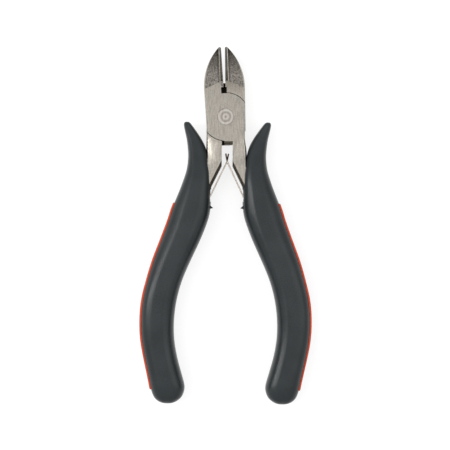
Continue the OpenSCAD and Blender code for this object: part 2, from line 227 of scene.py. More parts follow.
def cut_plane(at_mm: Vector, normal: Vector) -> None:
    """Cuts new edges along a plane into the faces that are selected in edit mode.

    Args:
        at_mm: A point of the plane.
        normal: The plane's normal.
    """
    bpy.ops.mesh.bisect(
        plane_co=tuple(at_mm * MM), plane_no=tuple(normal), threshold=CUT_MM * MM
    )


def apply_modifier(obj: Object, kind: str, **settings: object) -> None:
    """Adds a modifier to an object and applies it at once.

    Args:
        obj: Object to change.
        kind: Type of the modifier.
        settings: Fields of the modifier.
    """
    pick(obj)
    modifier = obj.modifiers.new(kind.lower(), kind)
    for name, value in settings.items():
        setattr(modifier, name, value)
    bpy.ops.object.modifier_apply(modifier=modifier.name)


def settle(obj: Object, name: str) -> Object:
    """Names an object and puts its place into its mesh.

    Args:
        obj: Object to finish.
        name: Its name.

    Returns:
        The same object.
    """
    pick(obj)
    bpy.ops.object.transform_apply(location=True, rotation=True, scale=True)
    obj.name = name
    obj.data.name = name
    return obj


def merged_copy(node: Object, name: str) -> Object:
    """Copies a node's loose triangles into one joined mesh of flat faces.

    Args:
        node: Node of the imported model.
        name: Name of the copy.

    Returns:
        The new object.
    """
    copy = bpy.data.objects.new(name, node.data.copy())
    bpy.context.scene.collection.objects.link(copy)
    with editing(copy):
        bpy.ops.mesh.select_mode(type="VERT")
        bpy.ops.mesh.select_all(action="SELECT")
        bpy.ops.mesh.remove_doubles(threshold=WELD_MM * MM)
        bpy.ops.mesh.customdata_custom_splitnormals_clear()
        bpy.ops.mesh.dissolve_limited(angle_limit=math.radians(FLAT_DEG))
    return copy


def ease_edges(
    obj: Object,
    width_mm: float,
    share_at: Callable[[Vector], float],
    angle_deg: float = 28.0,
    shortest_mm: float = 0.35,
) -> None:
    """Rounds a mesh's edges a little, as grinding and tumbling leave them.

    Args:
        obj: Object to change.
        width_mm: Width of the widest rounding.
        share_at: Gives from an edge's middle, in millimetres, its share of that width.
        angle_deg: Least turn between two faces that counts as an edge.
        shortest_mm: Shorter edges stay as they are.
    """
    with editing(obj) as mesh:
        weights = mesh.edges.layers.float.get(
            "bevel_weight_edge"
        ) or mesh.edges.layers.float.new("bevel_weight_edge")
        for edge in mesh.edges:
            if len(edge.link_faces) != 2:
                continue
            middle = (edge.verts[0].co + edge.verts[1].co) / (2 * MM)
            turn = math.degrees(edge.calc_face_angle(0.0))
            wanted = turn > angle_deg and edge.calc_length() > shortest_mm * MM
            edge[weights] = share_at(middle) if wanted else 0.0
        bmesh.update_edit_mesh(obj.data)
    apply_modifier(
        obj,
        "BEVEL",
        width=width_mm * MM,
        segments=ROUND_STEPS,
        limit_method="WEIGHT",
        use_clamp_overlap=False,
        loop_slide=True,
    )
    shade(obj, EASED_SMOOTH_DEG)
    apply_modifier(obj, "WEIGHTED_NORMAL", keep_sharp=True, weight=FACE_WEIGHT)


def shade(obj: Object, angle_deg: float) -> None:
    """Shades an object smooth, apart from edges sharper than an angle."""
    pick(obj)
    bpy.ops.object.shade_smooth_by_angle(angle=math.radians(angle_deg))


def along_slope(steps: Sequence[float], values: Sequence[float], i: int) -> float:
    """Slope of a curve at one of its points, from the points beside it."""
    a, b = max(i - 1, 0), min(i + 1, len(steps) - 1)
    return (values[b] - values[a]) / (steps[b] - steps[a])


def smooth_value(steps: Sequence[float], values: Sequence[float], s: float) -> float:
    """Reads a smooth curve through given points.

    Args:
        steps: Rising positions of the points.
        values: Heights of the points.
        s: Position to read.

    Returns:
        Height of the curve at s.
    """
    i = max(k for k in range(len(steps) - 1) if steps[k] <= s or k == 0)
    h = steps[i + 1] - steps[i]
    t = (s - steps[i]) / h
    return (
        values[i] * (1 + 2 * t) * (1 - t) ** 2
        + values[i + 1] * t * t * (3 - 2 * t)
        + h * along_slope(steps, values, i) * t * (1 - t) ** 2
        + h * along_slope(steps, values, i + 1) * t * t * (t - 1)
    )


# ---- Finishes ------------------------------------------------------------------------


class Skin:
    """A new material, with the nodes that the finishes share.

    Every pattern lies on the model's own coordinates, so a scale is in real sizes.
    """

    def __init__(self, name: str) -> None:
        """Starts the material under its name.

        Args:
            name: Name of the material.
        """
        self.made = bpy.data.materials.new(name)
        self.made.use_nodes = True
        self.tree = self.made.node_tree
        self.place = add_node(self.tree, "TexCoord").outputs["Object"]

    def mapped(self, **settings: Feed) -> NodeSocket:
        """Moves, turns or scales the coordinates by the given inputs."""
        return add_node(self.tree, "Mapping", {"Vector": self.place, **settings}).outputs[0]

    def stretched(self, wide_mm: float, long_mm: float, angle_deg: float = 0.0) -> NodeSocket:
        """Stretches the coordinates for lines that run along the tool.

        Args:
            wide_mm: Width of a line.
            long_mm: Length of a line.
            angle_deg: Turn of the lines.

        Returns:
            Coordinates in which one line is one unit.
        """
        scale = tuple(1 / (size * MM) for size in (wide_mm, long_mm, wide_mm))
        return self.mapped(Rotation=(0.0, 0.0, math.radians(angle_deg)), Scale=scale)

    def noise(
        self,
        scale: float,
        detail: float = 2.0,
        roughness: float = 0.5,
        place: Optional[NodeSocket] = None,
    ) -> NodeSocket:
        """Adds an uneven pattern.

        Args:
            scale: Grains in one unit of the coordinates.
            detail: How many finer patterns lie over it.
            roughness: How strong the finer patterns are.
            place: Coordinates, where they aren't the model's own.

        Returns:
            The pattern, from 0 to 1.
        """
        inputs = {
            "Vector": self.place if place is None else place,
            "Scale": scale,
            "Detail": detail,
            "Roughness": roughness,
        }
        return add_node(self.tree, "TexNoise", inputs).outputs["Fac"]

    def mix(self, share: float, first: Feed, second: Feed) -> NodeSocket:
        """Blends two patterns, with a share of the second."""
        inputs = {0: share, 2: first, 3: second}
        return add_node(self.tree, "Mix", inputs, data_type="FLOAT").outputs[0]

    def colour(
        self, tone: Feed, dark: Feed, light: Feed, blend_type: str = "MIX"
    ) -> NodeSocket:
        """Blends two colours.

        Args:
            tone: Share of the second colour.
            dark: First colour.
            light: Second colour.
            blend_type: How the second goes over the first.

        Returns:
            The blended colour.
        """
        inputs = {0: tone, 6: dark, 7: light}
        settings = {"data_type": "RGBA", "blend_type": blend_type}
        return add_node(self.tree, "Mix", inputs, **settings).outputs[2]

    def ranged(self, value: Feed, span: Span, to: Span = (0.0, 1.0)) -> NodeSocket:
        """Carries a pattern from one span of values over to another."""
        inputs = {0: value, 1: span[0], 2: span[1], 3: to[0], 4: to[1]}
        return add_node(self.tree, "MapRange", inputs).outputs[0]

    def bump(self, height: Feed, deep_mm: float, strength: float) -> NodeSocket:
        """Turns a pattern into fine relief of a given depth."""
        inputs = {"Height": height, "Distance": deep_mm * MM, "Strength": strength}
        return add_node(self.tree, "Bump", inputs).outputs[0]

    def finished(self, inputs: dict[str, Feed]) -> Material:
        """Feeds the shader's own inputs, and gives the material."""
        feed(self.tree, self.tree.nodes["Principled BSDF"], inputs)
        return self.made


@dataclass(frozen=True)
class SteelFinish:
    """Bare tool steel, ground, honed or tumbled.

    Grinding leaves fine parallel lines that catch the light as streaks, and hard spots and
    pits that show as specks. The lines of a real wheel are about 0.05 mm apart, too fine to
    show here, so they are drawn a few times as coarse.
    """

    name: str
    dark: str
    light: str
    line_mm: float = 0.3
    line_length_mm: float = 7.0
    line_angle_deg: float = 0.0
    line_roughness: float = 0.62
    speck_mm: float = 0.45
    speck_roughness: float = 0.7
    speck_share: float = 0.35
    detail: float = 3.0
    tone_span: Span = (0.33, 0.67)
    gloss_span: Span = (0.3, 0.7)
    roughness: float = 0.36
    roughness_spread: float = 0.1
    relief_mm: float = 0.004
    relief_strength: float = 0.6
    # Span along the tool over which painted shade darkens the colour, and the colour it is
    # multiplied by
    fade_from_mm: float = 0.0
    fade_to_mm: float = 0.0
    fade_light: str = WHITE

    def material(self) -> Material:
        """Builds the material.

        Returns:
            Steel with its lines and specks, darkened past a given level by painted shade.
        """
        skin = Skin(self.name)
        along = skin.stretched(self.line_mm, self.line_length_mm, self.line_angle_deg)
        lines = skin.noise(1.0, self.detail, self.line_roughness, along)
        specks = skin.noise(1 / (self.speck_mm * MM), self.detail, self.speck_roughness)
        both = skin.mix(self.speck_share, lines, specks)
        tone = skin.ranged(both, self.tone_span)
        colour = skin.colour(tone, linear(self.dark), linear(self.light))
        # Painted shade: the colour is multiplied darker along the tool's length
        if self.fade_to_mm > self.fade_from_mm:
            level = add_node(skin.tree, "SeparateXYZ", {0: skin.place}).outputs["Y"]
            faded = skin.ranged(level, (self.fade_from_mm * MM, self.fade_to_mm * MM))
            colour = skin.colour(faded, colour, linear(self.fade_light), "MULTIPLY")
        dull, bright = (self.roughness + k * self.roughness_spread for k in (1, -1))
        return skin.finished(
            {
                "Metallic": 1.0,
                "Base Color": colour,
                "Roughness": skin.ranged(both, self.gloss_span, (dull, bright)),
                "Normal": skin.bump(both, self.relief_mm, self.relief_strength),
            }
        )


@dataclass(frozen=True)
class TurnedSteelFinish:
    """Steel faced on a lathe: fine rings round the middle, over the lines of the grinding.

    The rings of a real tool bit are about 0.1 mm apart, drawn here at twice that.
    """

    name: str
    dark: str
    light: str
    ring_mm: float = 0.22
    ring_scale: float = 0.05
    ring_unevenness: float = 0.6
    ring_detail: float = 2.0
    line_mm: float = 0.3
    line_length_mm: float = 6.0
    line_detail: float = 3.0
    line_share: float = 0.7
    tone_span: Span = (0.3, 0.7)
    roughness: float = 0.34
    relief_mm: float = 0.004
    relief_strength: float = 0.5

    def material(self) -> Material:
        """Builds the material.

        Returns:
            Steel with its rings round the pivot's axis.
        """
        skin = Skin(self.name)
        rings = add_node(
            skin.tree,
            "TexWave",
            {
                "Vector": skin.mapped(Location=tuple(-c * MM for c in PIVOT)),
                "Scale": self.ring_scale / (self.ring_mm * MM),
                "Distortion": self.ring_unevenness,
                "Detail": self.ring_detail,
                "Detail Scale": self.ring_detail,
            },
            wave_type="RINGS",
            rings_direction="Z",
        ).outputs["Fac"]
        along = skin.stretched(self.line_mm, self.line_length_mm)
        lines = skin.noise(1.0, self.line_detail, place=along)
        both = skin.mix(self.line_share, rings, lines)
        tone = skin.ranged(both, self.tone_span)
        return skin.finished(
            {
                "Metallic": 1.0,
                "Base Color": skin.colour(tone, linear(self.dark), linear(self.light)),
                "Roughness": self.roughness,
                "Normal": skin.bump(both, self.relief_mm, self.relief_strength),
            }
        )


@dataclass(frozen=True)
class MouldedFinish:
    """Soft thermoplastic rubber, moulded in a spark-eroded tool.

    The eye gets an even, satin skin with a grain of about 0.2 mm, a slow change of tone over
    about a centimetre from handling, and a soft shine on the ridges.
    """

    name: str
    dark: str
    light: str
    grain_mm: float = 0.22
    grain_share: float = 0.3
    cloud_mm: float = 9.0
    tone_span: Span = (0.35, 0.65)
    gloss_span: Span = (0.3, 0.7)
    roughness: float = 0.36
    roughness_spread: float = 0.04
    relief_mm: float = 0.012
    relief_strength: float = 0.5
    shine: float = 0.35

    def material(self) -> Material:
        """Builds the material.

        Returns:
            Rubber with its grain and its slow change of tone.
        """
        skin = Skin(self.name)
        grain = skin.noise(1 / (self.grain_mm * MM))
        cloud = skin.noise(1 / (self.cloud_mm * MM))
        tone = skin.ranged(skin.mix(self.grain_share, cloud, grain), self.tone_span)
        bright, dull = (self.roughness + k * self.roughness_spread for k in (-1, 1))
        return skin.finished(
            {
                "Specular IOR Level": self.shine,
                "Base Color": skin.colour(tone, linear(self.dark), linear(self.light)),
                "Roughness": skin.ranged(grain, self.gloss_span, (bright, dull)),
                "Normal": skin.bump(grain, self.relief_mm, self.relief_strength),
            }
        )


Finish = Union[SteelFinish, TurnedSteelFinish, MouldedFinish]


@cache
def material_of(finish: Finish) -> Material:
    """Builds a finish's material when it is first asked for, and keeps it."""
    return finish.material()


def dress(obj: Object, *finishes: Finish) -> None:
    """Gives an object its materials.

    Args:
        obj: Object to dress.
        finishes: Its finishes, in the order of its slots.
    """
    obj.data.materials.clear()
    for finish in finishes:
        obj.data.materials.append(material_of(finish))


GROUND_FACE = SteelFinish(
    "surface_ground_carbon_steel",
    "#736e67",
    "#a29d95",
    line_mm=0.3,
    line_length_mm=3.5,
    speck_mm=0.4,
    speck_share=0.45,
)
# The same grinding, with painted shade that darkens it towards the jaw, carrying on the
# taper's darker tone where no line ends it
GROUND_SHADED_TO_JAW = replace(
    GROUND_FACE,
    name="surface_ground_steel_dulled_by_jaw",
    fade_from_mm=42.0,
    fade_to_mm=46.8,
    fade_light="#d6d1cb",
)
# Coarse grinding, whose lines and specks are the steel's own; its dark tone, deepest towards
# the tips, is painted shade for the darker reflection of the tilted taper
JAW_TAPER = SteelFinish(
    "coarse_ground_hardened_steel",
    "#2b2723",
    "#948f88",
    line_mm=0.4,
    line_length_mm=0.8,
    line_angle_deg=10.0,
    speck_mm=0.45,
    speck_share=0.72,
    roughness=0.42,
    fade_from_mm=48.0,
    fade_to_mm=57.5,
    fade_light="#615c57",
)
# Painted shade of the slight grinding hollow beside the honed strip, a darker line along the
# cutting edge
EDGE_HOLLOW_SHADE = replace(
    JAW_TAPER, name="wheel_burnt_hardened_steel", dark="#24211d", light="#77726b"
)
# Honed steel of the bevel faces along the cutting edge; laid as a thin strip on the taper it
# is also a painted highlight of the rounded edge between taper and bevel
HONED_BEVEL_AND_HIGHLIGHT = SteelFinish(
    "honed_hardened_steel",
    "#6b665f",
    "#a7a29b",
    line_mm=0.2,
    line_length_mm=4.0,
    speck_share=0.15,
    roughness=0.28,
)
# Tumbled forging of the crowned sides; darker towards the jaw tips, where the sides catch no
# highlight: painted shade
FORGED_SIDE = SteelFinish(
    "tumbled_forged_steel",
    "#6d685c",
    "#b5ae9d",
    line_mm=0.5,
    line_length_mm=1.5,
    speck_mm=0.5,
    speck_share=0.6,
    roughness=0.34,
    fade_from_mm=51.0,
    fade_to_mm=54.5,
    fade_light="#77726c",
)
# Dark painted shade on the arms' inner chamfers, which face inwards away from the light
CHAMFER_SHADE_STEEL = SteelFinish(
    "forge_scale_left_on_chamfers",
    "#2a2621",
    "#5f5950",
    line_mm=0.4,
    line_length_mm=1.5,
    speck_share=0.6,
    roughness=0.5,
)
# Near-black painted shade on the flat faces inside the joint, seen through the relief hole and
# the slot
JOINT_SHADE_STEEL = SteelFinish(
    "oil_darkened_joint_steel",
    "#0f0e0c",
    "#262320",
    speck_share=0.6,
    roughness=0.5,
)
# Rolled spring strip; darker from about 21 mm up, where the leaf's hook reaches into the
# throat between the arms: painted shade
SPRING_STRIP = SteelFinish(
    "cold_rolled_spring_steel",
    "#7d756d",
    "#b9b1a9",
    line_mm=0.25,
    line_length_mm=5.0,
    speck_share=0.15,
    roughness=0.3,
    fade_from_mm=20.2,
    fade_to_mm=21.0,
    fade_light="#625d57",
)
TURNED_RIVET = TurnedSteelFinish("faced_rivet_steel", "#7c7770", "#aba69f")
STUD_STEEL = SteelFinish(
    "headed_rivet_wire", "#5f5a54", "#97928a", speck_share=0.5, roughness=0.38
)
GRIP_RUBBER = MouldedFinish(
    "moulded_soft_rubber", "#1e2325", "#272d2f", roughness=0.3, shine=0.25
)
INLAY_RUBBER = MouldedFinish(
    "moulded_red_rubber",
    "#bd3c14",
    "#cc481b",
    grain_mm=0.3,
    cloud_mm=14.0,
    roughness=0.48,
    relief_mm=0.008,
)


# ---- Pieces --------------------------------------------------------------------------


class Kind(IntEnum):
    """Kinds of face on a forging, in the order of its material slots."""

    GROUND = 0
    SIDE = 1
    TAPER = 2
    HONED = 3
    SCALE = 4
    OILED = 5
    BURNT = 6


# Finishes of the kinds of face after the first, whose finish differs between the halves
FORGING_FINISHES = (
    FORGED_SIDE,
    JAW_TAPER,
    HONED_BEVEL_AND_HIGHLIGHT,
    CHAMFER_SHADE_STEEL,
    JOINT_SHADE_STEEL,
    EDGE_HOLLOW_SHADE,
)


@dataclass
class ForgedHalf:
    """One half of the tool: a jaw, a joint plate and an arm in one forging.

    The side is the one that the arm is on. The jaw is on the other side. A from, to, low or
    root is a level along the tool, a side is a distance from the pivot's middle line, and a
    deep is a distance from the middle plane.
    """

    node: str
    side: Side
    half: Object = field(init=False)
    flare_mm: float = 0.0
    honed_edge_mm: tuple[Span, Span] = ((-2.29, 46.12), (-2.84, 57.34))
    highlight_line_mm: float = 0.3
    shade_line_mm: float = 0.95

    # The head and its crowned sides, most of which is pressed out
    head_side_mm: float = 6.15
    face_deep_mm: float = 3.1
    crown_radius_mm: float = 5.49
    crown_at_face_mm: float = 1.03
    crown_kept: float = 0.4
    press_side_mm: float = 4.6
    press_to_mm: float = 50.0
    press_fade_mm: float = 6.2
    slab_side_mm: float = 6.1
    bend_mm: float = 18.75
    lap_radius_mm: float = 7.72
    back_lap_radius_mm: float = 11.3
    lap_width_mm: float = 0.2
    merge_mm: float = 0.006

    # The throat below the joint, and the tips of the chamfers beside it
    throat_side_mm: float = 1.75
    throat_low_mm: float = 20.55
    throat_lower_mm: float = 19.1
    throat_reach_mm: Span = (1.0, 0.6)
    throat_face_deep_mm: float = 3.15
    chamfer_tip_mm: float = 0.3

    # The honed strip along the cutting edge, where it starts
    cut_line_mm: float = -1.17
    honing_root_mm: Span = (46.0, 46.4)
    honing_side_mm: Span = (1.0, 1.8)
    honing_narrower_mm: float = 0.45

    # The dip in the arm's outer edges, and how the arm spreads
    large_face: int = 12
    dip_from_mm: float = 27.9
    dip_clear_mm: float = 0.3
    dip_steps: int = 6
    dip_side_mm: float = 3.5
    dip_wide_mm: float = 1.35
    dip_mm: float = 0.75
    dip_deep_mm: float = 1.2
    dip_fade_mm: float = 2.0
    rim_side_mm: float = 4.9
    flare_from_mm: float = 28.9
    flare_fade_mm: float = 5.0

    # The end of the coarse grinding on the plate: its corner, and a point on each side
    grinding_mm: tuple[Span, Span, Span] = ((-6.2, 44.2), (-2.76, 45.5), (-2.04, 44.4))
    grinding_x_mm: float = -0.9

    # Slopes, as the upward share of a face's normal, and places that tell its kind
    flat_mm: float = 0.001
    flat_up: float = 0.999
    level_up: float = 0.99
    taper_up: float = 0.95
    dip_up: float = 0.85
    chamfer_up: Span = (0.7, 0.93)
    bevel_up: Span = (0.3, 0.46)
    chamfer_along: float = 0.5
    chamfer_to_mm: float = 21.5
    chamfer_side_mm: float = 9.0
    jaw_from_mm: float = 43.0
    edge_from_mm: float = 45.0
    joint_deep_mm: float = 2.3
    slot_mm: float = -1.3
    by_slot_mm: float = 1.6

    # Rounding of the edges: its widest, its usual share, and the edges that stay sharp
    easing_mm: float = 0.25
    easing_share: float = 0.36
    sharp_from_mm: float = 42.0
    slot_half_mm: float = 0.75
    honed_round_mm: Span = (47.0, 56.0)
    honed_round_side_mm: float = 2.0
    honed_round_deep_mm: float = 1.0

    def build(self, frame: dict) -> Object:
        """Makes the half from its node, with eased edges and its finishes.


        Returns:
            The finished half.
        """
        half = merged_copy(frame["nodes"][self.node], self.node + "_forging")
        self.half = half
        ground = GROUND_FACE if self.side is Side.RIGHT else GROUND_SHADED_TO_JAW
        dress(half, ground, *FORGING_FINISHES)
        self._flatten_sides()
        self._open_throat()
        self._narrow_honing()
        self._cut_arm()
        self._dip_arm()
        for face in self.half.data.polygons:
            face.material_index = self._kind_of(face)
        self._line_edge()
        if self.side is Side.RIGHT:
            self._end_grinding()
        ease_edges(half, self.easing_mm, self._easing_at)
        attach(half, self.node)
        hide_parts(self.node)
        return half

    def _off_middle(self, x_mm: float) -> float:
        """Distance from the head's middle line, towards the arm's side."""
        return self.side.value * (x_mm - PIVOT.x)

    def _merge_doubles(self) -> None:
        """Joins the points that were moved onto each other."""
        with editing(self.half):
            bpy.ops.mesh.select_all(action="SELECT")
            bpy.ops.mesh.remove_doubles(threshold=self.merge_mm * MM)

    def _pressed_mm(self, y: float, deep: float, aside: float) -> float:
        """How far a point of the head's or the arm's side is pressed outward.

        Args:
            y: Level of the point.
            deep: Its distance from the middle plane.
            aside: Its distance from the pivot's middle line.

        Returns:
            Distance outward, from the crowned side to the flatter one.
        """
        crown = self._crown_mm(deep)
        fade = clamped((self.press_to_mm - y) / self.press_fade_mm)
        pressed = (1 - self.crown_kept) * fade * crown
        on_slab = y < self.bend_mm + NEAR_MM and aside > self.slab_side_mm
        return pressed - crown if on_slab and deep > self.face_deep_mm else pressed

    def _crown_mm(self, deep: float) -> float:
        """How far the crown falls back at a distance from the middle plane."""
        return self.crown_radius_mm - math.sqrt(self.crown_radius_mm**2 - deep**2)

    def _flatten_sides(self) -> None:
        """Presses most of the crown out of the head's sides, up to where the jaws start.

        Points on a lap stay on its circle, so that the two halves still turn in each other.
        """
        for vertex in self.half.data.vertices:
            x, y, z = vertex.co / MM
            deep = abs(z - PIVOT.z)
            aside = abs(x - PIVOT.x)
            if not self.bend_mm - NEAR_MM < y < self.press_to_mm or aside < self.press_side_mm:
                continue
            moved = aside + self._pressed_mm(y, deep, aside)
            radius = math.hypot(x - PIVOT.x, y - PIVOT.y)
            on_lap = abs(radius - self.lap_radius_mm) < self.lap_width_mm
            if y > PIVOT.y and abs(radius - self.back_lap_radius_mm) < self.lap_width_mm:
                if aside + self._crown_mm(deep) < self.head_side_mm - NEAR_MM:
                    continue
                on_lap = True
            if on_lap:
                level = math.copysign(math.sqrt(radius**2 - moved**2), y - PIVOT.y)
                vertex.co.y = (PIVOT.y + level) * MM
            vertex.co.x = (PIVOT.x + math.copysign(moved, x - PIVOT.x)) * MM
        self._merge_doubles()

    def _open_throat(self) -> None:
        """Lets the throat run further down, and the arm's chamfers start at a point."""
        inner = self.side.value * self.throat_side_mm
        reach_x, reach_y = self.throat_reach_mm
        for vertex in self.half.data.vertices:
            x, y, z = vertex.co / MM
            if abs(y - self.throat_low_mm) > reach_y or abs(x - inner) > reach_x:
                continue
            on_face = abs(z - PIVOT.z) > self.throat_face_deep_mm
            tip = self.throat_low_mm + self.chamfer_tip_mm
            vertex.co = Vector((inner, tip if on_face else self.throat_lower_mm, z)) * MM
        self._merge_doubles()

    def _narrow_honing(self) -> None:
        """Makes the honed strip along the cutting edge as narrow at its root as at its tip."""
        jaw = -self.side.value
        low, high = self.honing_root_mm
        near, far = self.honing_side_mm
        for vertex in self.half.data.vertices:
            x, y, z = vertex.co / MM
            on_face = abs(z - PIVOT.z) > self.face_deep_mm
            if on_face and low < y < high and near < jaw * (x - self.cut_line_mm) < far:
                vertex.co.x -= jaw * self.honing_narrower_mm * MM

    def _cut_arm(self) -> None:
        """Cuts new edges into the arm, across it and along its outer rim.

        Large faces go to triangles first, because a cut through a hollow outline goes wrong.
        The plate's triangles are joined again after the cuts.
        """
        above = self.dip_from_mm + self.dip_clear_mm
        step = (self.dip_from_mm - self.bend_mm) / self.dip_steps
        levels = [above] + [self.bend_mm + step * i for i in range(self.dip_steps + 1)]
        rim = self.head_side_mm - self.crown_kept * self.crown_at_face_mm
        inner_x = PIVOT.x + self.side.value * (rim - self.dip_wide_mm)
        plate = (above - NEAR_MM) * MM
        with editing(self.half) as mesh:
            select_faces(mesh, lambda face: len(face.verts) > self.large_face)
            bpy.ops.mesh.quads_convert_to_tris(quad_method="BEAUTY", ngon_method="BEAUTY")
            bpy.ops.mesh.dissolve_degenerate(threshold=WELD_MM * MM)
        with editing(self.half) as mesh:
            for level in levels:
                select_faces(mesh, self._on_arm)
                cut_plane(Vector((0, level, 0)), Vector((0, 1, 0)))
            select_faces(mesh, self._on_arm_face)
            cut_plane(Vector((inner_x, 0, 0)), Vector((1, 0, 0)))
            select_faces(mesh, lambda face: min(v.co.y for v in face.verts) > plate)
            bpy.ops.mesh.dissolve_limited(angle_limit=math.radians(FLAT_DEG))

    def _on_arm(self, face: BMFace) -> bool:
        """Tells whether a face reaches the outer part of the arm.

        Args:
            face: The face.

        Returns:
            True where it does.
        """
        reach = max(self._off_middle(v.co.x / MM) for v in face.verts)
        low = min(v.co.y / MM for v in face.verts)
        return reach >= self.dip_side_mm and low < self.dip_from_mm

    def _on_arm_face(self, face: BMFace) -> bool:
        """Tells whether a face lies wholly on the arm's top or bottom.

        Args:
            face: The face.

        Returns:
            True where it does.
        """
        ys = [v.co.y / MM for v in face.verts]
        inside = self.bend_mm - NEAR_MM < min(ys) and max(ys) < self.dip_from_mm + NEAR_MM
        deep = abs(face.verts[0].co.z / MM - PIVOT.z)
        return inside and deep > self.face_deep_mm and abs(face.normal.z) > self.level_up

    def _dip_arm(self) -> None:
        """Rolls the arm's outer edges over in a long shallow dip, and spreads the arm."""
        length = self.dip_from_mm - self.bend_mm
        for vertex in self.half.data.vertices:
            x, y, z = vertex.co / MM
            deep = z - PIVOT.z
            if y < self.bend_mm - NEAR_MM or self._off_middle(x) < self.rim_side_mm:
                continue
            if self.bend_mm < y < self.dip_from_mm:
                drop = self.dip_mm * math.sin(math.pi * (y - self.bend_mm) / length)
                drop *= clamped((abs(deep) - self.dip_deep_mm) / self.dip_fade_mm)
                vertex.co.z -= math.copysign(drop, deep) * MM
            spread = clamped((self.flare_from_mm - y) / self.flare_fade_mm)
            vertex.co.x += self.side.value * self.flare_mm * spread * MM

    def _on_front(self, face: BMFace) -> bool:
        """Tells whether a face is part of the front plate's flat face."""
        level = face.calc_center_median().z / MM - PIVOT.z
        return face.normal.z > self.flat_up and level > self.face_deep_mm

    def _grinding_end(self, x_mm: float) -> float:
        """Level at which the coarse grinding ends.

        Args:
            x_mm: Distance across the tool.

        Returns:
            The level along the tool.
        """
        left, (x, y), right = self.grinding_mm
        end_x, end_y = left if x_mm < x else right
        return y + (x_mm - x) * (end_y - y) / (end_x - x)

    def _end_grinding(self) -> None:
        """Lets the jaw's coarse grinding, with its painted shade, run out on the plate along
        its clear line.
        """
        left, corner, right = (Vector((*point, 0)) for point in self.grinding_mm)
        for end in (left, right):
            along = end - corner
            with editing(self.half) as mesh:
                select_faces(mesh, self._on_front)
                cut_plane(corner, Vector((-along.y, along.x, 0)))
        for face in self.half.data.polygons:
            x, y, _ = face.center / MM
            on_jaw = x <= self.grinding_x_mm and y >= self.jaw_from_mm
            if on_jaw and face.material_index == Kind.GROUND and y > self._grinding_end(x):
                face.material_index = Kind.TAPER

    def _line_edge(self) -> None:
        """Draws a light line of painted highlight and a dark line of painted shade on the
        taper, along the cutting edge.
        """
        root, tip = (Vector((*point, 0)) for point in self.honed_edge_mm)
        along = (tip - root).normalized()
        across = Vector((along.y, -along.x, 0)) * -self.side.value
        for step in (self.highlight_line_mm, self.shade_line_mm):
            with editing(self.half) as mesh:
                select_faces(mesh, lambda face: face.material_index == Kind.TAPER)
                cut_plane(root + across * step, across)
        # The nearest strip gets the honed finish as a painted highlight, the next one painted
        # shade
        for face in self.half.data.polygons:
            off = (face.center / MM - root).dot(across)
            if face.material_index == Kind.TAPER and off < self.shade_line_mm:
                face.material_index = Kind.HONED if off < self.highlight_line_mm else Kind.BURNT

    def _kind_of(self, face: MeshPolygon) -> Kind:
        """Tells from a face's slope and place which kind it is.

        Args:
            face: A face of the half.

        Returns:
            Its kind, which is also its material slot.
        """
        levels = [self.half.data.vertices[i].co.z for i in face.vertices]
        flat = max(levels) - min(levels) < self.flat_mm * MM
        up = 1.0 if flat else abs(face.normal.z)
        x, y, z = face.center / MM
        # Flat faces near the middle plane lie inside the joint and get painted shade
        if up > self.flat_up:
            return Kind.GROUND if abs(z - PIVOT.z) > self.joint_deep_mm else Kind.OILED
        if up > self.taper_up and y > self.jaw_from_mm:
            return Kind.TAPER
        by_slot = y > self.edge_from_mm and abs(x - self.slot_mm) < self.by_slot_mm
        if by_slot and self.bevel_up[0] < up < self.bevel_up[1]:
            return Kind.HONED
        low = y < self.chamfer_to_mm and abs(face.normal.y) < self.chamfer_along
        if low and self.chamfer_up[0] < up < self.chamfer_up[1]:
            # The arms' inner chamfers get painted shade, the outer ones the side's finish
            inner = self._off_middle(x) < self.chamfer_side_mm
            return Kind.SCALE if inner else Kind.SIDE
        return Kind.GROUND if up > self.dip_up and y < self.dip_from_mm else Kind.SIDE

    def _easing_at(self, middle: Vector) -> float:
        """Keeps the cutting edge, the slot and the relief sharp, and rounds the honed edge.

        Args:
            middle: Middle of an edge, in millimetres.

        Returns:
            The edge's share of the widest rounding.
        """
        from_slot = abs(middle.x - self.slot_mm)
        by_jaw = middle.y > self.sharp_from_mm
        low, high = self.honed_round_mm
        if by_jaw and from_slot < self.slot_half_mm:
            return 0.0
        if low < middle.y < high and from_slot < self.honed_round_side_mm:
            return 1.0 if abs(middle.z - PIVOT.z) > self.honed_round_deep_mm else 0.0
        return 0.0 if by_jaw and from_slot < self.by_slot_mm else self.easing_share


@dataclass
class SmallSteelPiece:
    """A spring or a rivet: the node's own form with eased edges and a finish."""

    node: str
    body: str
    slot: str
    finish: Finish
    easing_mm: float = 0.06
    shortest_mm: float = 0.3

    def build(self, frame: dict) -> Object:
        """Makes the piece from its node.


        Returns:
            The finished piece.
        """
        piece = merged_copy(frame["nodes"][self.node], self.node + "_piece")
        dress(piece, self.finish)
        ease_edges(piece, self.easing_mm, lambda middle: 1.0, shortest_mm=self.shortest_mm)
        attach(piece, self.body)
        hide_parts(self.node)
        return piece


